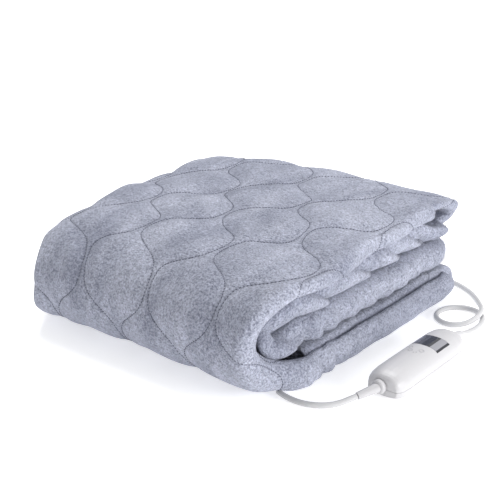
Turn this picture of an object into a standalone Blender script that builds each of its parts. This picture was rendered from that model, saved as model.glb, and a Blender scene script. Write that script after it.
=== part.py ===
"""A folded electric heated throw with its hand control and mains lead, in metres, +Z up.

The origin is at the middle of the folded throw's underside, on the surface it rests on.
The fold lines run along X. The big round fold faces -Y, and the loose loops face +Y.
"""
from math import cos, pi, sin

import bmesh
import bpy
from mathutils import Matrix, Vector
from mathutils.geometry import interpolate_bezier

# Driving dimensions
HALF_WIDTH = 0.150  # of the folded throw, along its fold lines
LEAD = 0.0052  # diameter of both leads
TOUCH = 0.0003  # gap between pieces that touch
CONTROL_WIDTH = 0.0365
CONTROL_HEIGHT = 0.0245
CONTROL_X = 0.2095
CONTROL_Y = -0.0335
CONTROL_SIDES = 36
# Rings across the control: place along Y, and the share of its width and of its height there
CONTROL_RINGS = (
    (-0.0585, 0.74, 0.66), (-0.0579, 0.79, 0.73), (-0.0565, 0.85, 0.81), (-0.0540, 0.915, 0.885),
    (-0.0500, 0.965, 0.945), (-0.0430, 1.0, 0.985), (-0.0250, 1.0, 1.0), (0.0250, 1.0, 1.0),
    (0.0400, 0.995, 0.985), (0.0480, 0.955, 0.94), (0.0535, 0.88, 0.86), (0.0565, 0.79, 0.77),
    (0.0579, 0.70, 0.68), (0.0585, 0.62, 0.60),
)
SEAM_Z = 0.0095
WINDOW_X = 0.2097
WINDOW_Y = -0.0140
WINDOW_SIZE = (0.0270, 0.0215)
WINDOW_BOTTOM = 0.0180
RELIEF_LENGTH = 0.020
RELIEF_DROOP = 0.22  # radians below level
RELIEF_YAW = 0.50  # radians towards the throw, at the near end
RELIEF_X = 0.2072
RELIEF_Z = 0.0115
COIL_CENTRE = (0.060, 0.2000)
COIL_MID_RADIUS = 0.0305
COIL_TURNS_ACROSS = 4
COIL_LAYERS = 2

# Each layer of the folded throw: its lowest and highest z, where it ends along +X and -X,
# and where its far fold starts.
LAYERS = {
    "under": dict(low=0.0, high=0.0160, right=0.157, left=0.149, far=0.110),
    "under_turned_in": dict(low=0.0172, high=0.0322, right=0.143, left=0.138, far=0.110),
    "middle_turned_in": dict(low=0.0334, high=0.0462, right=0.134, left=0.140, far=0.110),
    "middle": dict(low=0.0474, high=0.0590, right=0.146, left=0.155, far=0.110),
    "upper": dict(low=0.0602, high=0.0885, right=0.144, left=0.152, far=0.090),
    "top": dict(low=0.0897, high=0.1045, right=0.153, left=0.144, far=0.090),
}
# The layer beside a turned-in one hangs over its edge, so that the two look like one.
HANGS_OVER = {"under": "under_turned_in", "middle": "middle_turned_in"}

# Each fold: where it starts, how far its outer and its inner side reach past that, how far
# each of them sinks, how much its hollow opens, how far its ends draw in along X, and how
# square its outer side is (1 is an ellipse).
FOLDS = {
    "far_bottom": dict(
        y=0.112, outer=0.037, inner=0.014, sink=0.0, inner_sink=0.0,
        hollow=0.001, left=0.006, right=0.006, fall=3, square=0.7
    ),
    "near_outer": dict(
        y=-0.112, outer=0.070, inner=0.046, sink=0.0, inner_sink=0.0,
        hollow=0.0, left=0.028, right=0.018, fall=1.5, square=0.9
    ),
    "far_top": dict(
        y=0.092, outer=0.058, inner=0.048, sink=0.0, inner_sink=0.008,
        hollow=0.009, left=0.004, right=0.004, fall=3, square=0.6
    ),
    "near_inner": dict(
        y=-0.112, outer=0.041, inner=0.026, sink=0.012, inner_sink=0.012,
        hollow=0.003, left=0.01, right=0.01, fall=3, square=1.0
    ),
    "far_middle": dict(
        y=0.112, outer=0.038, inner=0.014, sink=0.0, inner_sink=0.0,
        hollow=0.001, left=0.006, right=0.006, fall=3, square=0.7
    ),
}
# The throw as it is laid back and forth, from one cut end to the other.
ROUTE = (
    ("layer", "under_turned_in", 1),
    ("fold", "far_bottom", "under_turned_in", "under"),
    ("layer", "under", -1),
    ("fold", "near_outer", "under", "top"),
    ("layer", "top", 1),
    ("fold", "far_top", "top", "upper"),
    ("layer", "upper", -1),
    ("fold", "near_inner", "upper", "middle"),
    ("layer", "middle", 1),
    ("fold", "far_middle", "middle", "middle_turned_in"),
    ("layer", "middle_turned_in", -1),
)
LAYER_NEAR = -0.110
LAYER_STEPS = 8
FOLD_STEPS = 10
END_DISTANCES = (0.0, 0.002, 0.005, 0.009, 0.015, 0.026)
MIDDLE_STATIONS = 5

COLOURS = {
    "fleece": ((0.37, 0.39, 0.46), 0.95),
    "white plastic": ((0.80, 0.80, 0.81), 0.35),
    "dark window": ((0.05, 0.055, 0.07), 0.15),
    "lead": ((0.70, 0.70, 0.71), 0.5),
    "pin metal": ((0.72, 0.70, 0.66), 0.25),
}


def clear_scene():
    for obj in list(bpy.data.objects):
        bpy.data.objects.remove(obj, do_unlink=True)


def make_collections():
    parts = bpy.data.collections.new("heated_throw")
    guides = bpy.data.collections.new("cutters")
    guides.hide_render = True
    for collection in (parts, guides):
        bpy.context.scene.collection.children.link(collection)
    return parts, guides


def finish(obj, collection, finish_name):
    """Puts the object in its collection with a material of its own."""
    for old in list(obj.users_collection):
        old.objects.unlink(obj)
    collection.objects.link(obj)
    colour, roughness = COLOURS[finish_name]
    material = bpy.data.materials.new(obj.name + " finish")
    material.use_nodes = True
    shader = material.node_tree.nodes["Principled BSDF"]
    shader.inputs["Base Color"].default_value = (*colour, 1)
    shader.inputs["Roughness"].default_value = roughness
    shader.inputs["Metallic"].default_value = 1.0 if finish_name == "pin metal" else 0.0
    obj.data.materials.clear()
    obj.data.materials.append(material)
    return obj


def object_from(bm, name):
    bmesh.ops.recalc_face_normals(bm, faces=bm.faces)
    mesh = bpy.data.meshes.new(name)
    bm.to_mesh(mesh)
    bm.free()
    return bpy.data.objects.new(name, mesh)


def ease(t):
    """Smooth step from 0 to 1."""
    t = min(1.0, max(0.0, t))
    return t * t * (3 - 2 * t)


def edge_round(distance, half):
    """How much of its thickness a layer keeps this far from its rounded edge."""
    if distance >= half:
        return 1.0
    return max(0.30, (1 - (1 - distance / half) ** 2) ** 0.5)


def layer_levels(name, distance, side):
    """Lowest and highest z of a layer this far in from its edge on the given X side."""
    layer = LAYERS[name]
    low, high = layer["low"], layer["high"]
    inner_name = HANGS_OVER.get(name)
    if inner_name:
        inner = LAYERS[inner_name]
        clear = layer[side] - inner[side]
        over = ease((clear - 0.001 - distance) / (0.6 * clear))
        if inner["low"] > low:
            high += over * (inner["high"] - high)
        else:
            low += over * (inner["low"] - low)
    middle, half = (low + high) / 2, (high - low) / 2
    keep = half * edge_round(distance, half)
    if name == "under":
        return low, low + 2 * keep
    return middle - keep, middle + keep


def uneven(x, y, z):
    """The throw is hand folded: it crowns, its corner at -X, -Y slumps, and its layers wander."""
    crown = 1 + 0.030 * (1 - (x / HALF_WIDTH) ** 2) * (1 - (y / 0.16) ** 2)
    wander = 1 + 0.012 * sin(21 * x + 9 * y) - 0.010 * sin(34 * y - 11 * x)
    raised = 1 + 0.055 * ease((x + 0.02) / 0.17) * ease((y + 0.10) / 0.2)
    nearness = ease((-0.01 - y) / 0.12)
    outward = min(1.0, max(0.0, (-x - 0.03) / 0.12))
    nearest = ease((-0.10 - y) / 0.08)
    slump = 0.06 * outward**2.2 + (0.10 * nearness + 0.17 * nearest) * outward**4.5
    lift = z / 0.105
    moved_x = x + 0.004 * lift * sin(17 * y + 40 * z) + 0.0025 * lift * sin(60 * y)
    forward = 0.006 * ease((x + 0.03) / 0.11) * ease((-0.10 - y) / 0.07)
    moved_y = y - forward + 0.003 * lift * sin(19 * moved_x + 30 * z)
    if x < 0:
        moved_x *= 1 - 0.07 * ease((y - 0.10) / 0.055)
    moved_x -= 0.016 * ease((x - 0.05) / 0.09) * ease((-0.10 - y) / 0.05) * ease(1 - z / 0.06)
    return moved_x, moved_y, z * crown * wander * raised * (1 - slump)


def route_pairs(side, distance):
    """The two faces of the throw along its route, as (y, z, y, z, draw, layer end) rows."""
    rows = []
    for step in ROUTE:
        if step[0] == "layer":
            kind, name, way = step
            low, high = layer_levels(name, distance, side)
            near, far = LAYER_NEAR, LAYERS[name]["far"]
            for i in range(LAYER_STEPS):
                share = i / (LAYER_STEPS - 1)
                y = near + (far - near) * (share if way > 0 else 1 - share)
                end = LAYERS[name][side]
                left_z, right_z = (high, low) if way > 0 else (low, high)
                rows.append((y, left_z, y, right_z, 0.0, end))
            continue
        kind, name, first, second = step
        fold = FOLDS[name]
        way = 1 if fold["y"] > 0 else -1
        first_low, first_high = layer_levels(first, distance, side)
        second_low, second_high = layer_levels(second, distance, side)
        goes_up = second_low > first_low
        outer = (first_low, second_high) if goes_up else (first_high, second_low)
        inner = (first_high, second_low) if goes_up else (first_low, second_high)
        for i in range(FOLD_STEPS):
            angle = pi * (i + 0.5) / FOLD_STEPS
            turn = sin(angle)
            pair = []
            for (start, end), reach, opening, sink, square in (
                (outer, fold["outer"], 0.0, fold["sink"], fold["square"]),
                (inner, fold["inner"], fold["hollow"], fold["inner_sink"], 1.0),
            ):
                y = fold["y"] + way * reach * turn**0.9
                part = 1 if cos(angle) > 0 else -1
                half = (start - end) / 2 * abs(cos(angle)) ** square * part
                half += opening * sin(pi * turn) * part * (1 if start > end else -1)
                pair.append((y, (start + end) / 2 + half - sink * turn))
            if name == "near_inner":
                pair.reverse()
            share = (i + 0.5) / FOLD_STEPS
            end = LAYERS[first][side] * (1 - share) + LAYERS[second][side] * share
            rows.append((*pair[0], *pair[1], fold[side] * turn ** fold["fall"], end))
    return rows


def make_throw(collection):
    """One solid: the back-and-forth section, lofted along X between its rounded edges."""
    stations = [("left", distance) for distance in END_DISTANCES]
    stations += [("middle", i / (MIDDLE_STATIONS + 1)) for i in range(1, MIDDLE_STATIONS + 1)]
    stations += [("right", distance) for distance in reversed(END_DISTANCES)]
    bm = bmesh.new()
    columns = []
    inmost = END_DISTANCES[-1]
    lefts = route_pairs("left", inmost)
    rights = route_pairs("right", inmost)
    for side, value in stations:
        column = []
        if side == "middle":
            rows = rights
        else:
            rows = route_pairs(side, value)
        for i, (ya, za, yb, zb, draw, end) in enumerate(rows):
            if side == "left":
                x = -(end - draw - value)
            elif side == "right":
                x = end - draw - value
            else:
                start_x = -(lefts[i][5] - lefts[i][4] - inmost)
                end_x = rights[i][5] - rights[i][4] - inmost
                x = start_x + (end_x - start_x) * value
            a = bm.verts.new(uneven(x, ya, za))
            b = bm.verts.new(uneven(x, yb, zb))
            column.append((a, b))
        columns.append(column)
    count = len(columns[0])
    for left, right in zip(columns, columns[1:]):
        for i in range(count - 1):
            for face in (0, 1):
                bm.faces.new((left[i][face], left[i + 1][face], right[i + 1][face], right[i][face]))
        for i in (0, count - 1):
            bm.faces.new((left[i][0], left[i][1], right[i][1], right[i][0]))
    for column in (columns[0], columns[-1]):
        for (a, b), (c, d) in zip(column, column[1:]):
            bm.faces.new((a, b, d, c))
    return finish(object_from(bm, "throw"), collection, "fleece")


def smooth_route(points, spacing):
    """Points at even distances on a smooth curve through the route's own points."""
    points = [Vector(p) for p in points]
    curve = []
    for i in range(len(points) - 1):
        before = points[max(i - 1, 0)]
        start, end = points[i], points[i + 1]
        after = points[min(i + 2, len(points) - 1)]
        reach = (end - start).length / 3
        leave = (end - before).normalized() * reach
        arrive = (after - start).normalized() * reach
        span = interpolate_bezier(start, start + leave, end - arrive, end, 24)
        curve += span[1:] if curve else span
    total = sum((b - a).length for a, b in zip(curve, curve[1:]))
    count = round(total / spacing)
    even, walked, k = [curve[0]], 0.0, 0
    for n in range(1, count):
        target = total * n / count
        while walked + (curve[k + 1] - curve[k]).length < target:
            walked += (curve[k + 1] - curve[k]).length
            k += 1
        part = (target - walked) / (curve[k + 1] - curve[k]).length
        even.append(curve[k].lerp(curve[k + 1], part))
    return even + [curve[-1]]


def make_tube(name, points, diameter, collection, finish_name="lead"):
    curve = bpy.data.curves.new(name, "CURVE")
    curve.dimensions = "3D"
    curve.bevel_depth = diameter / 2
    curve.bevel_resolution = 2
    curve.use_fill_caps = True
    spline = curve.splines.new("POLY")
    spline.points.add(len(points) - 1)
    for point, place in zip(spline.points, points):
        point.co = (*place, 1)
    return finish(bpy.data.objects.new(name, curve), collection, finish_name)


def make_turned(name, profile, place, turn, collection, finish_name, steps=20):
    """A profile of (radius, height) rows turned about its axis, then placed."""
    bm = bmesh.new()
    verts = [bm.verts.new((radius, 0, height)) for radius, height in profile]
    for a, b in zip(verts, verts[1:]):
        bm.edges.new((a, b))
    if profile[0][0] > 0 and profile[-1][0] > 0:
        bm.edges.new((verts[-1], verts[0]))
    bmesh.ops.spin(bm, geom=bm.verts[:] + bm.edges[:], axis=(0, 0, 1), cent=(0, 0, 0),
                   angle=2 * pi, steps=steps, use_merge=True)
    bmesh.ops.remove_doubles(bm, verts=bm.verts, dist=1e-6)
    obj = finish(object_from(bm, name), collection, finish_name)
    obj.matrix_world = Matrix.Translation(place) @ turn
    return obj


def make_control_outline(guides):
    """The whole control: rings across it, round on top and flat below, closed at both ends."""
    bm = bmesh.new()
    rings = []
    for along, across, up in CONTROL_RINGS:
        ring = []
        for i in range(CONTROL_SIDES):
            angle = 2 * pi * (i + 0.5) / CONTROL_SIDES
            c, s = cos(angle), sin(angle)
            x = CONTROL_WIDTH / 2 * across * abs(c) ** 0.75 * (1 if c > 0 else -1)
            if s > 0:
                z = SEAM_Z + (CONTROL_HEIGHT - SEAM_Z) * up * s**0.85
            else:
                z = SEAM_Z - (SEAM_Z - TOUCH) * up * (-s) ** 0.4
            ring.append(bm.verts.new((CONTROL_X + x, CONTROL_Y + along, z)))
        rings.append(ring)
    for ring, after in zip(rings, rings[1:]):
        for i in range(CONTROL_SIDES):
            k = (i + 1) % CONTROL_SIDES
            bm.faces.new((ring[i], ring[k], after[k], after[i]))
    bm.faces.new(rings[0])
    bm.faces.new(rings[-1])
    whole = finish(object_from(bm, "control outline"), guides, "white plastic")
    whole.hide_render = True
    whole.display_type = "WIRE"
    return whole


def make_cutter(name, size, place, guides):
    bm = bmesh.new()
    bmesh.ops.create_cube(bm, size=1)
    bmesh.ops.scale(bm, vec=size, verts=bm.verts)
    obj = finish(object_from(bm, name), guides, "white plastic")
    obj.location = place
    obj.hide_render = True
    obj.display_type = "WIRE"
    return obj


def make_control(parts, guides):
    """The hand control: two shells that meet at a seam, and a window over its crown."""
    whole = make_control_outline(guides)
    deep = 0.04
    below = make_cutter("below seam", (0.1, 0.2, deep),
                        (CONTROL_X, CONTROL_Y, SEAM_Z - (TOUCH + deep) / 2), guides)
    above = make_cutter("above seam", (0.1, 0.2, deep),
                        (CONTROL_X, CONTROL_Y, SEAM_Z + (TOUCH + deep) / 2), guides)
    across, along = WINDOW_SIZE
    pane = make_cutter("window outline", (across, along, deep),
                       (WINDOW_X, WINDOW_Y, WINDOW_BOTTOM + deep / 2), guides)
    recess = make_cutter("window recess", (across + 2 * TOUCH, along + 2 * TOUCH, deep),
                         (WINDOW_X, WINDOW_Y, WINDOW_BOTTOM - TOUCH + deep / 2), guides)
    pieces = (
        ("control_lower_shell", "white plastic", (("INTERSECT", below),)),
        ("control_upper_shell", "white plastic", (("INTERSECT", above), ("DIFFERENCE", recess))),
        ("control_window", "dark window", (("INTERSECT", pane),)),
    )
    for name, finish_name, cuts in pieces:
        obj = finish(bpy.data.objects.new(name, whole.data.copy()), parts, finish_name)
        for i, (operation, other) in enumerate(cuts):
            modifier = obj.modifiers.new(f"cut {i}", "BOOLEAN")
            modifier.operation = operation
            modifier.object = other


def make_reliefs(parts, guides):
    """A round boss at each end, and from it a tapered sleeve that keeps the lead from kinking."""
    boss = ((0.0, 0.0), (0.0066, 0.0), (0.0066, 0.0026), (0.0060, 0.0038), (0.0046, 0.0045), (0.0, 0.0045))
    sleeve = ((0.0, 0.0), (0.0044, 0.0), (0.0034, RELIEF_LENGTH), (0.0, RELIEF_LENGTH))
    for name, way, end_y, yaw in (("near_strain_relief", -1, CONTROL_RINGS[0][0], RELIEF_YAW),
                                  ("far_strain_relief", 1, CONTROL_RINGS[-1][0], 0.0)):
        base_y = CONTROL_Y + end_y + way * TOUCH
        level = Matrix.Rotation(-way * pi / 2, 4, "X")
        obj = make_turned(name, boss, (RELIEF_X, base_y, RELIEF_Z), level, parts, "white plastic", 24)
        turn = Matrix.Rotation(-yaw, 4, "Z") @ Matrix.Rotation(-way * (pi / 2 + RELIEF_DROOP), 4, "X")
        place = (RELIEF_X, base_y + way * 0.0025, RELIEF_Z)
        root = make_turned(name + " sleeve", sleeve, place, turn, guides, "white plastic", 24)
        root.hide_render = True
        root.display_type = "WIRE"
        join = obj.modifiers.new("sleeve", "BOOLEAN")
        join.operation = "UNION"
        join.object = root


HEAD_LEAD_ROUTE = (
    (0.1430, -0.1422, 0.0028),
    (0.1510, -0.1438, 0.0028),
    (0.1610, -0.1440, 0.0028),
    (0.1700, -0.1420, 0.0028),
    (0.1780, -0.1378, 0.0028),
    (0.1850, -0.1317, 0.0031),
    (0.1905, -0.1247, 0.0042),
    (0.1945, -0.1180, 0.0058),
    (0.19755, -0.11245, 0.00705),
)
MAINS_LEAD_ROUTE = (
    (0.2072, 0.0480, 0.0069),
    (0.2076, 0.0540, 0.0054),
    (0.2085, 0.0640, 0.0036),
    (0.2091, 0.0760, 0.0028),
    (0.2077, 0.0890, 0.0028),
    (0.2010, 0.1040, 0.0028),
    (0.1900, 0.1120, 0.0028),
    (0.1770, 0.1120, 0.0028),
    (0.1665, 0.1040, 0.0028),
    (0.1620, 0.0915, 0.0028),
    (0.1645, 0.0785, 0.0028),
    (0.1740, 0.0698, 0.0028),
    (0.1865, 0.0690, 0.0030),
    (0.1970, 0.0760, 0.0046),
    (0.2018, 0.0880, 0.0072),
    (0.2005, 0.1010, 0.0083),
    (0.1950, 0.1135, 0.0068),
    (0.1870, 0.1260, 0.0038),
    (0.1770, 0.1380, 0.0028),
    (0.1640, 0.1495, 0.0028),
    (0.1480, 0.1585, 0.0028),
    (0.1300, 0.1640, 0.0028),
    (0.1090, 0.1655, 0.0028),
    (0.0875, 0.1650, 0.0028),
)


def make_coil(parts):
    """The spare lead, wound in a neat round coil and held by one strap."""
    half_across = COIL_TURNS_ACROSS * LEAD / 2
    height = COIL_LAYERS * LEAD
    inner = COIL_MID_RADIUS - half_across
    outer = COIL_MID_RADIUS + half_across
    edge = 0.002
    profile = ((inner, edge), (inner, height - edge), (inner + edge, height), (outer - edge, height),
               (outer, height - edge), (outer, edge), (outer - edge, 0.0), (inner + edge, 0.0))
    make_turned("mains_lead_coil", profile, (*COIL_CENTRE, 0.0002), Matrix(), parts, "lead", 32)


PLUG_SIZE = (0.034, 0.025, 0.014)
PLUG_AXIS_Y = 0.165
PLUG_BACK_X = 0.0115
PIN_SPACING = 0.013


def make_plug(parts):
    """A small two-pin plug, lying beside the coil with its pins towards -X."""
    axis_z = PLUG_SIZE[2] / 2 + 0.0002
    centre = Vector((PLUG_BACK_X - PLUG_SIZE[0] / 2, PLUG_AXIS_Y, axis_z))
    bm = bmesh.new()
    bmesh.ops.create_cube(bm, size=1)
    bmesh.ops.scale(bm, vec=PLUG_SIZE, verts=bm.verts)
    bmesh.ops.bevel(bm, geom=bm.edges[:], offset=0.004, segments=3, profile=0.5, affect="EDGES")
    body = finish(object_from(bm, "plug_body"), parts, "white plastic")
    body.location = centre
    sleeve = ((0.0, 0.0), (0.0055, 0.0), (0.0038, RELIEF_LENGTH), (0.0, RELIEF_LENGTH))
    make_turned("plug_strain_relief", sleeve, (PLUG_BACK_X + TOUCH, PLUG_AXIS_Y, axis_z),
                Matrix.Rotation(pi / 2, 4, "Y"), parts, "white plastic", 16)
    for name, side in (("plug_pin_near", -1), ("plug_pin_far", 1)):
        profile = ((0.0, 0.0), (0.0022, 0.0), (0.0022, 0.0175), (0.0014, 0.0190), (0.0, 0.0190))
        place = centre + Vector((-PLUG_SIZE[0] / 2 - TOUCH, side * PIN_SPACING / 2, 0))
        make_turned(name, profile, place, Matrix.Rotation(-pi / 2, 4, "Y"), parts, "pin metal", 12)


def main():
    clear_scene()
    parts, guides = make_collections()
    make_throw(parts)
    make_control(parts, guides)
    make_reliefs(parts, guides)
    make_tube("head_lead", smooth_route(HEAD_LEAD_ROUTE, 2.2 * LEAD), LEAD, parts)
    make_tube("mains_lead", smooth_route(MAINS_LEAD_ROUTE, 1.6 * LEAD), LEAD, parts)
    make_coil(parts)
    make_plug(parts)


main()
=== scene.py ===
"""The finish of a folded electric heated throw with its hand control and leads, in metres, +Z up."""
from math import cos, pi, radians, sin, tau

import bmesh
import bpy
import numpy as np
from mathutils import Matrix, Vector
from mathutils.geometry import interpolate_bezier
from mathutils.kdtree import KDTree


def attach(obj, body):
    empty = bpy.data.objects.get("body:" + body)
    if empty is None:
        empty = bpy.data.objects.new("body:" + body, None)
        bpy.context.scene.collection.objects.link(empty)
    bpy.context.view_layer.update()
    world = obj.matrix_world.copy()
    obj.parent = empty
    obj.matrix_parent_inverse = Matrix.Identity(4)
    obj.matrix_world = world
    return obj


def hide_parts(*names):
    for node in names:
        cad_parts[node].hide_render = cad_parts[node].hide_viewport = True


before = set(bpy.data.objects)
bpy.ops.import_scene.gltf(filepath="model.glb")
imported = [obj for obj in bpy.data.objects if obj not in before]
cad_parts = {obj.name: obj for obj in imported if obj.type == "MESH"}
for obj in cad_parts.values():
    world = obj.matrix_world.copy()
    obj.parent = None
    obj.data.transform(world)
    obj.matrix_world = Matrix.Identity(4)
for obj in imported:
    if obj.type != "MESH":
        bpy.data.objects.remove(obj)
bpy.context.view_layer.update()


# ---- Camera, floor and light -------------------------------------------------------------
# The camera looks down on the near corner. The floor is plain and pale, and the light is
# a bright even studio, a little stronger from the right.

def make_camera():
    azimuth, elevation = radians(38.165), radians(21.41)
    back = Vector((sin(azimuth) * cos(elevation), -cos(azimuth) * cos(elevation), sin(elevation)))
    data = bpy.data.cameras.new("camera")
    data.lens = 83.16
    data.sensor_width = 36
    data.clip_end = 30
    camera = bpy.data.objects.new("camera", data)
    camera.location = (0.6545, -0.8381, 0.4727)
    camera.rotation_euler = (-back).to_track_quat("-Z", "Y").to_euler()
    bpy.context.scene.collection.objects.link(camera)
    bpy.context.scene.camera = camera


def make_floor():
    bpy.ops.object.select_all(action="DESELECT")
    bpy.ops.mesh.primitive_plane_add(size=14, location=(0, 0, 0))
    floor = bpy.context.object
    floor.name = "floor"
    material = bpy.data.materials.new("pale floor")
    material.use_nodes = True
    shader = material.node_tree.nodes["Principled BSDF"]
    shader.inputs["Base Color"].default_value = (0.93, 0.93, 0.935, 1)
    shader.inputs["Roughness"].default_value = 0.9
    shader.inputs["Specular IOR Level"].default_value = 0.1
    shader.inputs["Emission Color"].default_value = (1, 1, 1, 1)
    shader.inputs["Emission Strength"].default_value = 0.50
    floor.data.materials.append(material)


def add_area_light(name, place, target, size, watts):
    data = bpy.data.lights.new(name, "AREA")
    data.shape = "DISK"
    data.size = size
    data.energy = watts
    light = bpy.data.objects.new(name, data)
    light.location = place
    light.rotation_euler = (Vector(target) - Vector(place)).to_track_quat("-Z", "Y").to_euler()
    bpy.context.scene.collection.objects.link(light)


def make_world():
    world = bpy.data.worlds.new("studio")
    world.use_nodes = True
    background = world.node_tree.nodes["Background"]
    background.inputs["Color"].default_value = (1.0, 1.0, 1.0, 1)
    background.inputs["Strength"].default_value = 0.50
    bpy.context.scene.world = world
    bpy.context.scene.view_settings.view_transform = "Standard"


make_camera()
make_floor()
make_world()
add_area_light("key", (2.0, 0.15, 0.55), (0, 0, 0.05), 1.0, 31)
add_area_light("top", (-0.6, 0.7, 2.0), (0, 0, 0.05), 1.5, 40)


# ---- Leads -------------------------------------------------------------------------------
# Two round white leads with a smooth sheath. The short one joins the throw to the control.
# The mains lead makes one loose loop, then its spare length is wound in a tied coil.

LEAD = 0.0052
HEAD_LEAD_ROUTE = (
    (0.1362, -0.1398, 0.0028),
    (0.1430, -0.1422, 0.0028),
    (0.1510, -0.1438, 0.0028),
    (0.1610, -0.1440, 0.0028),
    (0.1700, -0.1420, 0.0028),
    (0.1780, -0.1378, 0.0028),
    (0.1850, -0.1317, 0.0031),
    (0.1905, -0.1247, 0.0042),
    (0.1945, -0.1180, 0.0058),
    (0.19755, -0.11245, 0.00705),
)
MAINS_LEAD_ROUTE = (
    (0.2072, 0.0480, 0.0069),
    (0.2076, 0.0540, 0.0054),
    (0.2085, 0.0640, 0.0036),
    (0.2091, 0.0760, 0.0028),
    (0.2077, 0.0890, 0.0028),
    (0.2010, 0.1040, 0.0028),
    (0.1900, 0.1120, 0.0028),
    (0.1770, 0.1120, 0.0028),
    (0.1665, 0.1040, 0.0028),
    (0.1620, 0.0915, 0.0028),
    (0.1645, 0.0785, 0.0028),
    (0.1740, 0.0698, 0.0028),
    (0.1865, 0.0690, 0.0030),
    (0.1970, 0.0760, 0.0046),
    (0.2018, 0.0880, 0.0072),
    (0.2005, 0.1010, 0.0083),
    (0.1950, 0.1135, 0.0068),
    (0.1870, 0.1260, 0.0038),
    (0.1770, 0.1380, 0.0028),
    (0.1640, 0.1495, 0.0028),
    (0.1480, 0.1585, 0.0028),
    (0.1300, 0.1640, 0.0028),
    (0.1090, 0.1655, 0.0028),
    (0.0875, 0.1650, 0.0028),
)
COIL_CENTRE = (0.060, 0.2000)
COIL_MIDDLE = 0.0305  # radius of the wound bundle's middle
LEAD_RESTS = 0.0028  # height of the lead's centre where it lies on the floor
COIL_EXIT_ROUTE = (
    (0.0495, 0.1644, 0.0080),
    (0.0415, 0.1648, 0.0080),
    (0.0365, 0.1650, 0.0076),
    (0.0315, 0.1650, 0.0072),
)


def smooth_line(points, spacing):
    """Points at even distances on a smooth curve through the route's own points."""
    points = [Vector(p) for p in points]
    curve = [points[0]]
    for i in range(len(points) - 1):
        start, end = points[i], points[i + 1]
        before = points[max(i - 1, 0)]
        after = points[min(i + 2, len(points) - 1)]
        reach = (end - start).length / 3
        leave = (end - before).normalized() * reach
        arrive = (after - start).normalized() * reach
        curve += interpolate_bezier(start, start + leave, end - arrive, end, 17)[1:]
    steps = [(b - a).length for a, b in zip(curve, curve[1:])]
    along = np.concatenate([[0], np.cumsum(steps)])
    wanted = np.linspace(0, along[-1], max(2, round(along[-1] / spacing)) + 1)
    place = np.array(curve)
    return np.stack([np.interp(wanted, along, place[:, k]) for k in range(3)], -1), along[-1]


def coil_points():
    """The turns of the coil: four on the floor, and three in the hollows between them."""
    centre_x, centre_y = COIL_CENTRE
    rise = 0.0047
    last_radius, last_z = 0.0359, 0.0078
    seats = [(0.0386, 0), (0.0332, 0), (0.0278, 0), (0.0224, 0),
             (0.0251, 1), (COIL_MIDDLE, 1), (last_radius, 1)]
    start = radians(-75)
    steps = 26
    shift_from = 0.8  # the share of a turn after which the lead moves over to its next seat
    points = []
    for turn, (radius, layer) in enumerate(seats):
        after_radius, after_layer = seats[min(turn + 1, len(seats) - 1)]
        for i in range(steps):
            part = i / steps
            shift = max(0.0, (part - shift_from) / 0.2)
            shift = shift * shift * (3 - 2 * shift)
            r = radius + (after_radius - radius) * shift
            z = LEAD_RESTS + rise * (layer + (after_layer - layer) * shift)
            angle = start - tau * part
            points.append((centre_x + r * cos(angle), centre_y + r * sin(angle), z))
    for angle in (start, radians(-90)):
        points.append((centre_x + last_radius * cos(angle), centre_y + last_radius * sin(angle), last_z))
    return points


def make_lead_material():
    material = bpy.data.materials.new("lead sheath")
    material.use_nodes = True
    nodes, links = material.node_tree.nodes, material.node_tree.links
    shader = nodes["Principled BSDF"]
    shader.inputs["Roughness"].default_value = 0.42
    shader.inputs["IOR"].default_value = 1.48
    place = nodes.new("ShaderNodeTexCoord")
    speckle = nodes.new("ShaderNodeTexNoise")
    speckle.inputs["Scale"].default_value = 60
    links.new(place.outputs["Object"], speckle.inputs["Vector"])
    tone = nodes.new("ShaderNodeValToRGB")
    tone.color_ramp.elements[0].color = (0.50, 0.50, 0.51, 1)
    tone.color_ramp.elements[1].color = (0.58, 0.58, 0.59, 1)
    links.new(speckle.outputs["Fac"], tone.inputs["Fac"])
    links.new(tone.outputs["Color"], shader.inputs["Base Color"])
    grain = nodes.new("ShaderNodeTexNoise")
    grain.inputs["Scale"].default_value = 900
    links.new(place.outputs["Object"], grain.inputs["Vector"])
    bump = nodes.new("ShaderNodeBump")
    bump.inputs["Strength"].default_value = 0.08
    bump.inputs["Distance"].default_value = 0.0003
    links.new(grain.outputs["Fac"], bump.inputs["Height"])
    links.new(bump.outputs["Normal"], shader.inputs["Normal"])
    return material


def make_lead(name, points, material):
    curve = bpy.data.curves.new(name, "CURVE")
    curve.dimensions = "3D"
    curve.bevel_depth = LEAD / 2
    curve.bevel_resolution = 4
    curve.use_fill_caps = True
    spline = curve.splines.new("POLY")
    spline.points.add(len(points) - 1)
    for point, place in zip(spline.points, points):
        point.co = (*place, 1)
    spline.use_smooth = True
    lead = bpy.data.objects.new(name, curve)
    lead.data.materials.append(material)
    bpy.context.scene.collection.objects.link(lead)
    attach(lead, "root")
    return lead


lead_material = make_lead_material()
head_points, head_length = smooth_line(HEAD_LEAD_ROUTE, 0.003)
head_lead = make_lead("lead_to_control", head_points, lead_material)
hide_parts("head_lead")

mains_route = list(MAINS_LEAD_ROUTE) + coil_points() + list(COIL_EXIT_ROUTE)
mains_points, mains_length = smooth_line(mains_route, 0.003)
mains_lead = make_lead("mains_cable", mains_points, lead_material)
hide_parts("mains_lead", "mains_lead_coil")


# ---- Coil tie ----------------------------------------------------------------------------
# A soft grey strap with a hook-and-loop face, wrapped once round the wound turns.

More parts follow.
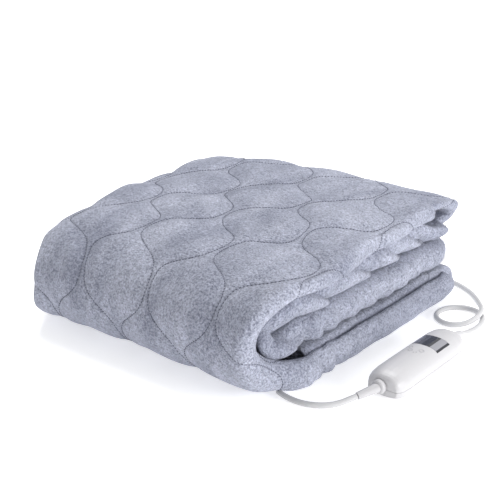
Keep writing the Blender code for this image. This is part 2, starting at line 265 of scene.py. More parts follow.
def make_coil_tie():
    angle = radians(60)
    centre = Vector((*COIL_CENTRE, 0))
    outward = Vector((cos(angle), sin(angle), 0))
    middle = centre + outward * COIL_MIDDLE + Vector((0, 0, 0.0054))
    width, half_across, half_high = 0.011, 0.0118, 0.0058
    lowest = 0.0004
    bpy.ops.object.select_all(action="DESELECT")
    bpy.ops.mesh.primitive_cylinder_add(vertices=40, radius=1, depth=width, end_fill_type="NOTHING")
    tie = bpy.context.object
    tie.name = "coil_tie"
    along = Vector((-outward.y, outward.x, 0))
    for vertex in tie.data.vertices:
        x, y, z = vertex.co
        round_x = abs(x) ** 0.8 * (1 if x > 0 else -1)
        round_y = abs(y) ** 0.8 * (1 if y > 0 else -1)
        vertex.co = middle + outward * round_x * half_across + along * z
        vertex.co.z = max(vertex.co.z + round_y * half_high, lowest)
    shell = tie.modifiers.new("strap thickness", "SOLIDIFY")
    shell.thickness = 0.0008
    shell.offset = 1
    bpy.ops.object.modifier_apply(modifier=shell.name)
    bpy.ops.object.shade_smooth_by_angle(angle=radians(40))
    material = bpy.data.materials.new("strap")
    material.use_nodes = True
    nodes, links = material.node_tree.nodes, material.node_tree.links
    shader = nodes["Principled BSDF"]
    shader.inputs["Roughness"].default_value = 0.9
    place = nodes.new("ShaderNodeTexCoord")
    loops = nodes.new("ShaderNodeTexNoise")
    loops.inputs["Scale"].default_value = 1400
    links.new(place.outputs["Object"], loops.inputs["Vector"])
    tone = nodes.new("ShaderNodeValToRGB")
    tone.color_ramp.elements[0].color = (0.30, 0.30, 0.32, 1)
    tone.color_ramp.elements[1].color = (0.55, 0.55, 0.58, 1)
    links.new(loops.outputs["Fac"], tone.inputs["Fac"])
    links.new(tone.outputs["Color"], shader.inputs["Base Color"])
    bump = nodes.new("ShaderNodeBump")
    bump.inputs["Strength"].default_value = 0.5
    bump.inputs["Distance"].default_value = 0.0004
    links.new(loops.outputs["Fac"], bump.inputs["Height"])
    links.new(bump.outputs["Normal"], shader.inputs["Normal"])
    tie.data.materials.append(material)
    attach(tie, "root")
    return tie


coil_tie = make_coil_tie()


# ---- Throw -------------------------------------------------------------------------------
# Two faces of short velvet fleece with heating wire between, quilted together. The throw is
# folded in four across, its ends are turned in, and it is laid back and forth in four.

HALF_WIDTH = 0.150
PLY = 0.0026  # thickness of one ply
LAYERS = {
    "under": dict(low=0.0, high=0.0160, right=0.157, left=0.149, far=0.110),
    "under_turned_in": dict(low=0.0172, high=0.0322, right=0.143, left=0.138, far=0.110),
    "middle_turned_in": dict(low=0.0334, high=0.0462, right=0.134, left=0.140, far=0.110),
    "middle": dict(low=0.0474, high=0.0590, right=0.146, left=0.155, far=0.110),
    "upper": dict(low=0.0602, high=0.0885, right=0.144, left=0.152, far=0.090),
    "top": dict(low=0.0897, high=0.1045, right=0.153, left=0.144, far=0.090),
}
HANGS_OVER = {"under": "under_turned_in", "middle": "middle_turned_in"}
FOLDS = {
    "far_bottom": dict(
        y=0.112, outer=0.037, inner=0.014, sink=0.0, inner_sink=0.0,
        hollow=0.001, left=0.006, right=0.006, fall=3, square=0.7
    ),
    "near_outer": dict(
        y=-0.112, outer=0.070, inner=0.046, sink=0.0, inner_sink=0.0,
        hollow=0.0, left=0.028, right=0.018, fall=1.5, square=0.9
    ),
    "far_top": dict(
        y=0.092, outer=0.058, inner=0.048, sink=0.0, inner_sink=0.008,
        hollow=0.009, left=0.004, right=0.004, fall=3, square=0.6
    ),
    "near_inner": dict(
        y=-0.112, outer=0.041, inner=0.026, sink=0.012, inner_sink=0.012,
        hollow=0.003, left=0.01, right=0.01, fall=3, square=1.0
    ),
    "far_middle": dict(
        y=0.112, outer=0.038, inner=0.014, sink=0.0, inner_sink=0.0,
        hollow=0.001, left=0.006, right=0.006, fall=3, square=0.7
    ),
}
# Each row: what it is, its layers, and how far apart its rows of points are.
ROUTE = (
    ("layer", "under_turned_in", 1, 0.012),
    ("fold", "far_bottom", "under_turned_in", "under", 12),
    ("layer", "under", -1, 0.0060),
    ("fold", "near_outer", "under", "top", 40),
    ("layer", "top", 1, 0.0045),
    ("fold", "far_top", "top", "upper", 26),
    ("layer", "upper", -1, 0.0055),
    ("fold", "near_inner", "upper", "middle", 22),
    ("layer", "middle", 1, 0.0060),
    ("fold", "far_middle", "middle", "middle_turned_in", 12),
    ("layer", "middle_turned_in", -1, 0.012),
)
LAYER_NEAR = -0.110


def ease(t):
    t = np.clip(t, 0.0, 1.0)
    return t * t * (3 - 2 * t)


def layer_levels(name, distance, side):
    """Lowest and highest z of a layer this far in from its edge on the given X side."""
    layer = LAYERS[name]
    low, high = layer["low"], layer["high"]
    inner_name = HANGS_OVER.get(name)
    if inner_name:
        inner = LAYERS[inner_name]
        clear = layer[side] - inner[side]
        over = ease((clear - 0.001 - distance) / (0.6 * clear))
        if inner["low"] > low:
            high += over * (inner["high"] - high)
        else:
            low += over * (inner["low"] - low)
    return low, high


def uneven(x, y, z):
    """The throw is hand folded: it crowns, its corner at -X, -Y slumps, and its layers wander."""
    crown = 1 + 0.030 * (1 - (x / HALF_WIDTH) ** 2) * (1 - (y / 0.16) ** 2)
    wander = 1 + 0.012 * np.sin(21 * x + 9 * y) - 0.010 * np.sin(34 * y - 11 * x)
    raised = 1 + 0.055 * ease((x + 0.02) / 0.17) * ease((y + 0.10) / 0.2)
    nearness = ease((-0.01 - y) / 0.12)
    outward = np.clip((-x - 0.03) / 0.12, 0, 1)
    nearest = ease((-0.10 - y) / 0.08)
    slump = 0.06 * outward**2.2 + (0.10 * nearness + 0.17 * nearest) * outward**4.5
    lift = z / 0.105
    moved_x = x + 0.004 * lift * np.sin(17 * y + 40 * z) + 0.0025 * lift * np.sin(60 * y)
    forward = 0.006 * ease((x + 0.03) / 0.11) * ease((-0.10 - y) / 0.07)
    moved_y = y - forward + 0.003 * lift * np.sin(19 * moved_x + 30 * z)
    moved_x = moved_x * np.where(x < 0, 1 - 0.07 * ease((y - 0.10) / 0.055), 1.0)
    tuck = 0.006 * ease((x - 0.05) / 0.09) * ease((-0.10 - y) / 0.05) * ease(1 - z / 0.06)
    moved_x = moved_x - tuck
    return moved_x, moved_y, z * crown * wander * raised * (1 - slump)


def route_rows(side, distance):
    """Both faces of the folded cloth along its route: y, z, y, z, draw, end, and what it is."""
    rows, names = [], []
    for step in ROUTE:
        if step[0] == "layer":
            kind, name, way, spacing = step
            low, high = layer_levels(name, distance, side)
            near, far = LAYER_NEAR, LAYERS[name]["far"]
            count = round((far - near) / spacing)
            for i in range(count):
                share = i / (count - 1)
                y = near + (far - near) * (share if way > 0 else 1 - share)
                left_z, right_z = (high, low) if way > 0 else (low, high)
                rows.append((y, left_z, y, right_z, 0.0, LAYERS[name][side]))
                names.append(name)
            continue
        kind, name, first, second, count = step
        fold = FOLDS[name]
        way = 1 if fold["y"] > 0 else -1
        first_low, first_high = layer_levels(first, distance, side)
        second_low, second_high = layer_levels(second, distance, side)
        goes_up = second_low > first_low
        outer = (first_low, second_high) if goes_up else (first_high, second_low)
        inner = (first_high, second_low) if goes_up else (first_low, second_high)
        for i in range(count):
            share = (i + 0.5) / count
            angle = pi * share
            turn = sin(angle)
            pair = []
            for (start, end), reach, opening, sink, square in (
                (outer, fold["outer"], 0.0, fold["sink"], fold["square"]),
                (inner, fold["inner"], fold["hollow"], fold["inner_sink"], 1.0),
            ):
                y = fold["y"] + way * reach * turn**0.9
                part = 1 if cos(angle) > 0 else -1
                half = (start - end) / 2 * abs(cos(angle)) ** square * part
                half += opening * sin(pi * turn) * part * (1 if start > end else -1)
                pair += [y, (start + end) / 2 + half - sink * turn]
            if name == "near_inner":
                pair = pair[2:] + pair[:2]
            end = LAYERS[first][side] * (1 - share) + LAYERS[second][side] * share
            rows.append((*pair, fold[side] * turn ** fold["fall"], end))
            names.append(name)
    return np.array(rows), names


def cloth_lines():
    """The lines of points across the folded-in-four cloth, from one long hem to the other.

    Each has its kind, the level it lies at between the layer's two faces (round a fold, the
    fold's radius), its place as a share of the way across or as an angle round the fold, and
    1 on the two outer plies.
    """
    lines = []
    fine, coarse = 60, 14
    for i in range(fine + 1):
        lines.append(("span", 0.12, i / fine, 1.0))
    for i in range(1, 11):
        lines.append(("right fold", 0.38, pi * i / 11, 1.0))
    for i in range(coarse + 1):
        share = 1 - (i / coarse) ** 1.6
        lines.append(("span", 0.88, share, 1.0))
    for i in range(1, 5):
        lines.append(("left fold", 0.125, pi * i / 5, 0.0))
    for i in range(coarse + 1):
        lines.append(("span", 0.63, (i / coarse) ** 0.8, 0.0))
    for i in range(1, 5):
        lines.append(("inner fold", 0.13, pi * i / 5, 0.0))
    for i in range(coarse + 1):
        lines.append(("span", 0.37, 1 - (i / coarse) ** 1.3, 0.0))
    return lines


QUILT_PITCH = 0.045  # between neighbouring quilting lines
QUILT_SWING = 0.0205  # how far each line swings to either side
QUILT_PERIOD = 0.129
QUILT_SQUARE = 1.6  # how square the swing is
QUILT_START_T = -0.0135
QUILT_START_S = 0.0228
SHOWN_LINES = 62  # the lines of points on the ply that shows
SKEW = 0.0215  # how far the cloth twists sideways round the big fold
SKEW_FROM_S, SKEW_TO_S = 0.571, 0.700


def quilt_line_t(index, s):
    """Where quilting line number index lies across the cloth, at s along it."""
    swing = np.tanh(QUILT_SQUARE * np.sin(tau * (s - QUILT_START_S) / QUILT_PERIOD))
    swing = swing / np.tanh(QUILT_SQUARE)
    sign = 1 if index % 2 == 0 else -1
    skew = SKEW * ease((SKEW_TO_S - s) / (SKEW_TO_S - SKEW_FROM_S))
    return QUILT_START_T + index * QUILT_PITCH + sign * QUILT_SWING * swing + skew


def pleats(y, z, names):
    """How far folds and gathers push in the end of each layer, and how far they dip its top."""
    names = np.array(names)
    pleat_depth, gather_depth, ripple_depth, hem_depth = 0.0120, 0.0070, 0.0040, 0.0012
    lean, lean_from = 1.6, 0.088  # the pleats slant towards -Y below this height
    sharp = 0.12  # the share of a pleat over which it rises, before it falls away slowly
    upper = (names == "upper") | (names == "near_inner") | (names == "far_top")
    slant = y - lean * (lean_from - z)
    starts = np.array([-0.200, -0.112, -0.042, 0.010, 0.056, 0.104, 0.160])
    slot = np.clip(np.searchsorted(starts, slant) - 1, 0, len(starts) - 2)
    part = np.clip((slant - starts[slot]) / (starts[slot + 1] - starts[slot]), 0, 1)
    saw = np.where(part < sharp, ease(part / sharp), (1 - (part - sharp) / (1 - sharp)) ** 1.4)
    push = np.where(upper, pleat_depth * saw, 0)
    dip = np.where(names == "upper", 0.0035 + 0.0075 * saw, 0)
    window = np.exp(-(((y + 0.095) / 0.035) ** 2))
    gather = window * (0.5 - 0.5 * np.cos(tau * y / 0.021 + 60 * z))
    push += np.where((names == "under") | (names == "middle"), gather_depth * gather, 0)
    ripple = 0.5 - 0.5 * np.cos(tau * y / 0.028 + 1.0 + 25 * z)
    push += np.where(names == "middle", ripple_depth * ripple, 0)
    push += np.where(names == "under", hem_depth * (0.5 - 0.5 * np.cos(tau * y / 0.055)), 0)
    return push, dip


def build_throw():
    lines = cloth_lines()
    near_rows, names = route_rows("right", 0.004)
    count = len(names)
    deep = 0.026  # past this, a turned-in layer no longer changes the one over it
    fold_depth = 0.36  # of a fold along the cloth's length, as a share of the layer's thickness
    inner_gap = 0.006
    left_deep, _ = route_rows("left", deep)
    right_deep, _ = route_rows("right", deep)
    thick_right = np.hypot(near_rows[:, 0] - near_rows[:, 2], near_rows[:, 1] - near_rows[:, 3])
    points = np.zeros((len(lines), count, 3))
    for k, (kind, level, value, outward) in enumerate(lines):
        right_end = right_deep[:, 5] - right_deep[:, 4]
        left_end = -(left_deep[:, 5] - left_deep[:, 4])
        if kind == "span":
            inset = fold_depth * thick_right if outward else fold_depth * thick_right + inner_gap
            start = left_end + (0.002 if level > 0.5 else 0.0)
            x = start + (right_end - inset - start) * value
            from_right = (1 - value) * 0.30
            from_left = value * 0.30
            if from_right < from_left:
                rows, _ = route_rows("right", min(deep, from_right + 0.008))
            else:
                rows, _ = route_rows("left", min(deep, from_left + 0.004))
            share = level
        elif kind == "right fold":
            rows = near_rows
            x = right_end - fold_depth * thick_right * (1 - sin(value))
            share = 0.5 - level * cos(value)
        elif kind == "inner fold":
            rows = near_rows
            x = right_end - fold_depth * thick_right - inner_gap + 0.10 * thick_right * sin(value)
            share = 0.5 + level * cos(value)
        else:
            rows, _ = route_rows("left", 0.002)
            x = left_end + 0.002 - 0.10 * thick_right * sin(value)
            share = 0.755 + level * cos(value)
        y = rows[:, 0] + (rows[:, 2] - rows[:, 0]) * share
        z = rows[:, 1] + (rows[:, 3] - rows[:, 1]) * share
        weight = np.exp(-np.maximum(right_end - x, 0) / 0.014)
        push, dip = pleats(y, z, names)
        x = x - weight * push
        z = z - weight * dip * share
        points[k] = np.stack(uneven(x, y, z), -1)
    along_t = np.linalg.norm(np.diff(points, axis=0), axis=2).mean(axis=1)
    along_s = np.linalg.norm(np.diff(points, axis=1), axis=2).mean(axis=0)
    t = np.concatenate([[0], np.cumsum(along_t)])
    s = np.concatenate([[0], np.cumsum(along_s)])
    return points, t, s, lines, names


def grid_normals(points):
    across = np.gradient(points, axis=0)
    along = np.gradient(points, axis=1)
    normal = np.cross(across, along)
    length = np.linalg.norm(normal, axis=2, keepdims=True)
    return normal / np.maximum(length, 1e-12)


def puff(points, t, s, lines, names):
    """Fills the quilting: the cloth swells between its lines, most where it faces out."""
    swell = dict(top=0.0030, near_outer=0.0030, far_top=0.0015, far_bottom=0.0012, far_middle=0.0012)
    hidden_swell = 0.0002
    fill_reach = 0.0085  # how far from a line the filling is nearly full
    tree_points = []
    for index in range(-1, round(t[-1] / QUILT_PITCH) + 2):
        for along in np.arange(s[0], s[-1], 0.002):
            tree_points.append((float(quilt_line_t(index, along)), float(along), 0.0))
    tree = KDTree(len(tree_points))
    for i, place in enumerate(tree_points):
        tree.insert(place, i)
    tree.balance()
    normal = grid_normals(points)
    if normal[5, names.index("top") + 10, 2] < 0:
        normal = -normal
    result = points.copy()
    for k, (kind, level, value, outward) in enumerate(lines):
        if not outward:
            continue
        for j, name in enumerate(names):
            gap = tree.find((float(t[k]), float(s[j]), 0.0))[2]
            fill = 1 - np.exp(-((gap / fill_reach) ** 1.5))
            if kind == "right fold":
                height = 0.0016 * sin(value) + swell.get(name, 0.0) * max(0.0, cos(value))
            elif level < 0.5:
                height = swell.get(name, hidden_swell)
            else:
                height = hidden_swell
            result[k, j] += normal[k, j] * height * (fill - 0.35)
    return result, normal


def soften(points, normal, names):
    """Soft hollows and ridges left by hands, on the faces that show."""
    x, y, z = points[..., 0], points[..., 1], points[..., 2]
    wave = (0.0011 * np.sin(47 * x + 23 * y + 1.3) * np.sin(31 * y - 18 * x + 0.4)
            + 0.0007 * np.sin(88 * x - 61 * y + 40 * z) + 0.0005 * np.sin(120 * y + 66 * x + 2.0))
    shows = np.array([n in ("top", "near_outer", "far_top") for n in names], float)
    weight = np.zeros(points.shape[:2])
    weight[:SHOWN_LINES] = shows[None, :]
    return points + normal * (wave * weight)[..., None]


def make_throw_mesh():
    points, t, s, lines, names = build_throw()
    points, normal = puff(points, t, s, lines, names)
    points = soften(points, normal, names)
    points[..., 2] = np.maximum(points[..., 2], PLY / 2)
    rows, columns = points.shape[:2]
    faces = []
    for k in range(rows - 1):
        for j in range(columns - 1):
            a = k * columns + j
            faces.append((a, a + columns, a + columns + 1, a + 1))
    mesh = bpy.data.meshes.new("folded_throw")
    mesh.from_pydata(points.reshape(-1, 3).tolist(), [], faces)
    layer = mesh.uv_layers.new(name="cloth")
    spot = np.empty(len(mesh.loops), np.int32)
    mesh.loops.foreach_get("vertex_index", spot)
    flat = np.stack([t[spot // columns], s[spot % columns]], -1)
    layer.data.foreach_set("uv", flat.astype(np.float32).reshape(-1))
    mesh.update()
    throw = bpy.data.objects.new("folded_throw", mesh)
    bpy.context.scene.collection.objects.link(throw)
    bpy.ops.object.select_all(action="DESELECT")
    throw.select_set(True)
    bpy.context.view_layer.objects.active = throw
    wall = throw.modifiers.new("ply", "SOLIDIFY")
    wall.thickness = PLY
    wall.offset = 0
    bpy.ops.object.modifier_apply(modifier=wall.name)
    bpy.ops.object.shade_smooth()
    return throw, points, normal, t, s, lines, names


throw, cloth_points, cloth_normals, cloth_t, cloth_s, cloth_parts, cloth_names = make_throw_mesh()


def math_node(nodes, links, operation, first, second=None, clamp=False):
    node = nodes.new("ShaderNodeMath")
    node.operation = operation
    node.use_clamp = clamp
    for socket, value in zip(node.inputs, (first, second)):
        if value is None:
            continue
        if isinstance(value, (int, float)):
            socket.default_value = value
        else:
            links.new(value, socket)
    return node.outputs[0]


def make_fleece_material():
    """Short brushed velvet: a nap that catches light, darker brushed patches, quilted grooves and
    painted stitch-hole shade.
    """
    material = bpy.data.materials.new("velvet fleece")
    material.use_nodes = True
    nodes, links = material.node_tree.nodes, material.node_tree.links

    def calc(operation, first, second=None, clamp=False):
        return math_node(nodes, links, operation, first, second, clamp)

    shader = nodes["Principled BSDF"]
    shader.inputs["Roughness"].default_value = 0.95
    shader.inputs["Specular IOR Level"].default_value = 0.15
    shader.inputs["Sheen Weight"].default_value = 0.35
    shader.inputs["Sheen Roughness"].default_value = 0.45
    shader.inputs["Sheen Tint"].default_value = (0.86, 0.88, 0.97, 1)
    flat = nodes.new("ShaderNodeUVMap")
    flat.uv_map = "cloth"
    split = nodes.new("ShaderNodeSeparateXYZ")
    links.new(flat.outputs["UV"], split.inputs["Vector"])
    across, along = split.outputs["X"], split.outputs["Y"]

    phase = calc("MULTIPLY", calc("SUBTRACT", along, QUILT_START_S), tau / QUILT_PERIOD)
    swing = calc("TANH", calc("MULTIPLY", calc("SINE", phase), QUILT_SQUARE))
    swing = calc("MULTIPLY", swing, QUILT_SWING / float(np.tanh(QUILT_SQUARE)))
    skew = nodes.new("ShaderNodeMapRange")
    skew.interpolation_type = "SMOOTHSTEP"
    skew.inputs["From Min"].default_value = SKEW_FROM_S
    skew.inputs["From Max"].default_value = SKEW_TO_S
    skew.inputs["To Min"].default_value = SKEW
    skew.inputs["To Max"].default_value = 0.0
    links.new(along, skew.inputs["Value"])
    shifted = calc("SUBTRACT", calc("SUBTRACT", across, QUILT_START_T), skew.outputs["Result"])
    even = calc("PINGPONG", calc("SUBTRACT", shifted, swing), QUILT_PITCH)
    odd = calc("PINGPONG", calc("SUBTRACT", calc("ADD", shifted, swing), QUILT_PITCH), QUILT_PITCH)
    gap = calc("MINIMUM", even, odd)
    steep = calc("MULTIPLY", calc("COSINE", phase), QUILT_SQUARE * QUILT_SWING * tau / QUILT_PERIOD)
    level = calc("TANH", calc("MULTIPLY", calc("SINE", phase), QUILT_SQUARE))
    fade = calc("SUBTRACT", 1.0, calc("MULTIPLY", level, level))
    slope = calc("MULTIPLY", steep, fade)
    gap = calc("DIVIDE", gap, calc("SQRT", calc("ADD", calc("MULTIPLY", slope, slope), 1.0)))
    groove_half, thread_half = 0.0035, 0.0011
    groove = calc("SUBTRACT", 1.0, calc("DIVIDE", gap, groove_half), clamp=True)
    groove = calc("MULTIPLY", groove, groove)
    # A narrow mask along each stitch line, which carries the painted shade of the stitch holes.
    stitch_shade_mask = calc("SUBTRACT", 1.0, calc("DIVIDE", gap, thread_half), clamp=True)

    place = nodes.new("ShaderNodeTexCoord")
    nap = nodes.new("ShaderNodeTexNoise")
    nap.inputs["Scale"].default_value = 560
    nap.inputs["Detail"].default_value = 4
    nap.inputs["Roughness"].default_value = 0.65
    links.new(place.outputs["Object"], nap.inputs["Vector"])
    tuft = nodes.new("ShaderNodeTexNoise")
    tuft.inputs["Scale"].default_value = 210
    tuft.inputs["Detail"].default_value = 3
    links.new(place.outputs["Object"], tuft.inputs["Vector"])
    stretch = nodes.new("ShaderNodeMapping")
    stretch.inputs["Scale"].default_value = (1.0, 0.45, 1.0)
    links.new(flat.outputs["UV"], stretch.inputs["Vector"])
    brushed = nodes.new("ShaderNodeTexNoise")
    brushed.inputs["Scale"].default_value = 26
    brushed.inputs["Detail"].default_value = 5
    brushed.inputs["Roughness"].default_value = 0.55
    brushed.inputs["Distortion"].default_value = 0.6
    links.new(stretch.outputs["Vector"], brushed.inputs["Vector"])

    tone = nodes.new("ShaderNodeValToRGB")
    tone.color_ramp.elements[0].position = 0.36
    tone.color_ramp.elements[0].color = (0.268, 0.284, 0.356, 1)
    tone.color_ramp.elements[1].position = 0.62
    tone.color_ramp.elements[1].color = (0.400, 0.417, 0.498, 1)
    links.new(brushed.outputs["Fac"], tone.inputs["Fac"])
    speck = nodes.new("ShaderNodeMixRGB")
    speck.blend_type = "MULTIPLY"
    speck.inputs["Fac"].default_value = 1.0
    grain_tone = nodes.new("ShaderNodeValToRGB")
    grain_tone.color_ramp.elements[0].position = 0.34
    grain_tone.color_ramp.elements[0].color = (0.44, 0.45, 0.49, 1)
    grain_tone.color_ramp.elements[1].position = 0.66
    grain_tone.color_ramp.elements[1].color = (1.60, 1.60, 1.60, 1)
    fine_grain = calc("MULTIPLY", nap.outputs["Fac"], 0.8)
    grain = calc("ADD", fine_grain, calc("MULTIPLY", tuft.outputs["Fac"], 0.2))
    links.new(grain, grain_tone.inputs["Fac"])
    links.new(tone.outputs["Color"], speck.inputs["Color1"])
    links.new(grain_tone.outputs["Color"], speck.inputs["Color2"])
    # Painted shade: along the stitch line the cloth colour is mixed a quarter of the way to a dark
    # blue-grey, for the shade in the stitch holes.
    stitch_shade_mix = nodes.new("ShaderNodeMixRGB")
    stitch_shade_mix.blend_type = "MIX"
    links.new(calc("MULTIPLY", stitch_shade_mask, 0.25), stitch_shade_mix.inputs["Fac"])
    links.new(speck.outputs["Color"], stitch_shade_mix.inputs["Color1"])
    stitch_shade_mix.inputs["Color2"].default_value = (0.12, 0.13, 0.18, 1)
    links.new(stitch_shade_mix.outputs["Color"], shader.inputs["Base Color"])

    height = calc("MULTIPLY", nap.outputs["Fac"], 0.0030)
    height = calc("ADD", height, calc("MULTIPLY", tuft.outputs["Fac"], 0.0026))
    height = calc("ADD", height, calc("MULTIPLY", brushed.outputs["Fac"], 0.0060))
    height = calc("SUBTRACT", height, calc("MULTIPLY", groove, 0.0016))
    bump = nodes.new("ShaderNodeBump")
    bump.inputs["Strength"].default_value = 0.8
    bump.inputs["Distance"].default_value = 1.0
    links.new(height, bump.inputs["Height"])
    links.new(bump.outputs["Normal"], shader.inputs["Normal"])
    return material


throw.data.materials.append(make_fleece_material())
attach(throw, "root")
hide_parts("throw")


# ---- Quilting stitches -------------------------------------------------------------------
# A running stitch that sinks into the pile along each quilting line. Its thread is far darker
# than the cloth: partly its own colour, partly painted shade of the stitch holes. Only the lines
# on the faces that show are stitched here, as short threads.

def cloth_place(t, s, points, normals, ts, ss):
    """A point on the cloth and its normal there, between the grid's own points."""
    k = int(np.clip(np.searchsorted(ts, t) - 1, 0, len(ts) - 2))
    j = int(np.clip(np.searchsorted(ss, s) - 1, 0, len(ss) - 2))
    u = (t - ts[k]) / (ts[k + 1] - ts[k])
    v = (s - ss[j]) / (ss[j + 1] - ss[j])

    def blend(grid):
        before = (1 - u) * (1 - v) * grid[k, j] + u * (1 - v) * grid[k + 1, j]
        return before + (1 - u) * v * grid[k, j + 1] + u * v * grid[k + 1, j + 1]

    return blend(points), blend(normals)


def make_stitches():
    first = cloth_names.index("near_outer") + 4
    last = len(cloth_names) - 1 - cloth_names[::-1].index("far_top") - 6
    last_line = max(k for k, line in enumerate(cloth_parts) if line[0] == "right fold")
    length, pitch, radius = 0.0016, 0.0029, 0.00050
    clear, bulge = 0.00002, 0.00018  # of a thread's ends and its middle, over the fleece
    hem = 0.004
    bm = bmesh.new()
    for index in range(0, round(cloth_t[last_line] / QUILT_PITCH) + 1):
        along = np.arange(cloth_s[first], cloth_s[last], 0.0006)
        t = quilt_line_t(index, along)
        walked = np.concatenate([[0], np.cumsum(np.hypot(np.diff(t), np.diff(along)))])
        for start in np.arange(0.001, walked[-1] - length, pitch):
            ends = []
            for distance in (start, start + length):
                s_at = float(np.interp(distance, walked, along))
                t_at = float(np.interp(distance, walked, t))
                ends.append((t_at, s_at))
            if min(e[0] for e in ends) < hem or max(e[0] for e in ends) > cloth_t[last_line]:
                continue
            (a, na), (b, nb) = (cloth_place(*e, cloth_points, cloth_normals, cloth_t, cloth_s)
                                for e in ends)
            normal = Vector((na + nb) / 2).normalized()
            a = Vector(a) + normal * (PLY / 2 + clear)
            b = Vector(b) + normal * (PLY / 2 + clear)
            direction = (b - a).normalized()
            side = direction.cross(normal).normalized()
            middle = (a + b) / 2 + normal * bulge
            rings = []
            for centre, size in ((a, 0.45), (middle, 1.0), (b, 0.45)):
                rings.append([
                    bm.verts.new(centre + (side * cos(angle) + normal * sin(angle)) * radius * size)
                    for angle in (0, tau / 6, tau / 3, pi, tau * 2 / 3, tau * 5 / 6)
                ])
            for low, high in zip(rings, rings[1:]):
                for i in range(6):
                    bm.faces.new((low[i], low[(i + 1) % 6], high[(i + 1) % 6], high[i]))
            bm.faces.new(rings[0][::-1])
            bm.faces.new(rings[-1])
    bmesh.ops.recalc_face_normals(bm, faces=bm.faces)
    mesh = bpy.data.meshes.new("quilting_stitches")
    bm.to_mesh(mesh)
    bm.free()
    mesh.shade_smooth()
    stitches = bpy.data.objects.new("quilting_stitches", mesh)
    bpy.context.scene.collection.objects.link(stitches)
    material = bpy.data.materials.new("stitch thread with painted hole shade")
    material.use_nodes = True
    nodes, links = material.node_tree.nodes, material.node_tree.links
    shader = nodes["Principled BSDF"]
    shader.inputs["Roughness"].default_value = 0.7
    place = nodes.new("ShaderNodeTexCoord")
    twist = nodes.new("ShaderNodeTexNoise")
    twist.inputs["Scale"].default_value = 400
    links.new(place.outputs["Object"], twist.inputs["Vector"])
    # Partly painted shade: the thread's tone is kept far darker than the cloth, standing in for the
    # shade of the stitch holes.
    tone = nodes.new("ShaderNodeValToRGB")
    tone.color_ramp.elements[0].color = (0.06, 0.065, 0.095, 1)
    tone.color_ramp.elements[1].color = (0.15, 0.16, 0.21, 1)
    links.new(twist.outputs["Fac"], tone.inputs["Fac"])
    links.new(tone.outputs["Color"], shader.inputs["Base Color"])
    stitches.data.materials.append(material)
    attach(stitches, "root")
    return stitches


stitches = make_stitches()


# ---- Hand control ------------------------------------------------------------------------
# Two satin white plastic shells meet at a fine seam, with a boss and a tapered sleeve at each
# end. The upper one has a dark window with a paler panel, and faint grey marks. The plug is
# moulded in the same plastic over two plated pins.

def make_plastic(name, colour, roughness, coat=0.0):
    material = bpy.data.materials.new(name)
    material.use_nodes = True
    nodes, links = material.node_tree.nodes, material.node_tree.links
    shader = nodes["Principled BSDF"]
    shader.inputs["Roughness"].default_value = roughness
    shader.inputs["Coat Weight"].default_value = coat
    shader.inputs["Coat Roughness"].default_value = 0.15
    place = nodes.new("ShaderNodeTexCoord")
    cloud = nodes.new("ShaderNodeTexNoise")
    cloud.inputs["Scale"].default_value = 35
    links.new(place.outputs["Object"], cloud.inputs["Vector"])
    tone = nodes.new("ShaderNodeValToRGB")
    tone.color_ramp.elements[0].color = (*[c * 0.97 for c in colour], 1)
    tone.color_ramp.elements[1].color = (*colour, 1)
    links.new(cloud.outputs["Fac"], tone.inputs["Fac"])
    links.new(tone.outputs["Color"], shader.inputs["Base Color"])
    grain = nodes.new("ShaderNodeTexNoise")
    grain.inputs["Scale"].default_value = 1500
    links.new(place.outputs["Object"], grain.inputs["Vector"])
    bump = nodes.new("ShaderNodeBump")
    bump.inputs["Strength"].default_value = 0.06
    bump.inputs["Distance"].default_value = 0.0002
    links.new(grain.outputs["Fac"], bump.inputs["Height"])
    links.new(bump.outputs["Normal"], shader.inputs["Normal"])
    return material


white_plastic = make_plastic("satin white plastic", (0.52, 0.515, 0.53), 0.38)
window_plastic = make_plastic("display window", (0.035, 0.04, 0.055), 0.10, 1.0)
ink = make_plastic("grey ink", (0.42, 0.42, 0.44), 0.6)
pin_metal = make_plastic("plated pins", (0.72, 0.70, 0.66), 0.25)
pin_metal.node_tree.nodes["Principled BSDF"].inputs["Metallic"].default_value = 1.0
NODE_FINISH = {
    "control_upper_shell": white_plastic,
    "control_lower_shell": white_plastic,
    "control_window": window_plastic,
    "near_strain_relief": white_plastic,
    "far_strain_relief": white_plastic,
    "plug_body": white_plastic,
    "plug_strain_relief": white_plastic,
    "plug_pin_near": pin_metal,
    "plug_pin_far": pin_metal,
}
for node_name, finish in NODE_FINISH.items():
    node = bpy.data.objects[node_name]
    node.data.materials.clear()
    node.data.materials.append(finish)


WINDOW_LEFT, WINDOW_RIGHT = 0.1962, 0.2232
PANEL_FROM, PANEL_TO = 0.70, 0.94  # the paler panel, as shares of the way across the window
CONTROL_MIDDLE_X = 0.2095
CONTROL_HALF_WIDTH = 0.01825
SEAM_Z = 0.0095
CROWN_RISE = 0.015


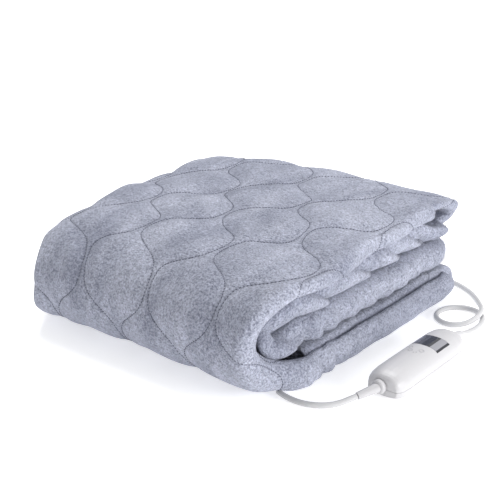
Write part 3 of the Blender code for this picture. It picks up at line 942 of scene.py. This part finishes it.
def make_display():
    """The window is dark, with a paler panel near its +X side."""
    nodes, links = window_plastic.node_tree.nodes, window_plastic.node_tree.links
    place = nodes.new("ShaderNodeTexCoord")
    split = nodes.new("ShaderNodeSeparateXYZ")
    links.new(place.outputs["Object"], split.inputs["Vector"])
    reach = nodes.new("ShaderNodeMapRange")
    reach.inputs["From Min"].default_value = WINDOW_LEFT
    reach.inputs["From Max"].default_value = WINDOW_RIGHT
    links.new(split.outputs["X"], reach.inputs["Value"])
    bands = nodes.new("ShaderNodeValToRGB")
    bands.color_ramp.interpolation = "CONSTANT"
    dark, pale = (0.022, 0.024, 0.032, 1), (0.30, 0.30, 0.33, 1)
    bands.color_ramp.elements[0].color = dark
    bands.color_ramp.elements[1].position = PANEL_TO
    bands.color_ramp.elements[1].color = dark
    panel = bands.color_ramp.elements.new(PANEL_FROM)
    panel.color = pale
    links.new(reach.outputs["Result"], bands.inputs["Fac"])
    links.new(bands.outputs["Color"], nodes["Principled BSDF"].inputs["Base Color"])


def crown_point(x, y):
    """A point on the control's crown, clear of its ends, and its outward direction."""
    def height(at):
        across = (abs(at - CONTROL_MIDDLE_X) / CONTROL_HALF_WIDTH) ** (1 / 0.75)
        return SEAM_Z + CROWN_RISE * (1 - across * across) ** 0.425

    step = 0.0005
    lean = (height(x + step) - height(x - step)) / (2 * step)
    return Vector((x, y, height(x))), Vector((-lean, 0, 1)).normalized()


def make_marks():
    """Faint plain grey marks below the window: two small rings and two pairs of dots."""
    made = []
    spots = [("ring", 0.2140, -0.0360), ("dot", 0.2010, -0.0345), ("dot", 0.2030, -0.0330),
             ("dot", 0.2115, -0.0410), ("dot", 0.2095, -0.0425), ("ring", 0.2050, -0.0400)]
    for kind, x, y in spots:
        place, normal = crown_point(x, y)
        turn = normal.to_track_quat("Z", "Y").to_euler()
        bpy.ops.object.select_all(action="DESELECT")
        if kind == "ring":
            bpy.ops.mesh.primitive_torus_add(major_segments=28, minor_segments=6, major_radius=0.0022,
                                             minor_radius=0.00030, location=place, rotation=turn)
        else:
            bpy.ops.mesh.primitive_cylinder_add(vertices=16, radius=0.00070, depth=0.00040,
                                                location=place, rotation=turn)
        made.append(bpy.context.object)
    for piece in made:
        piece.select_set(True)
    bpy.context.view_layer.objects.active = made[0]
    bpy.ops.object.join()
    marks = bpy.context.object
    marks.name = "control_marks"
    bpy.ops.object.transform_apply(location=True, rotation=True, scale=True)
    bpy.ops.object.shade_smooth_by_angle(angle=radians(40))
    marks.data.materials.clear()
    marks.data.materials.append(ink)
    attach(marks, "root")


make_display()
make_marks()
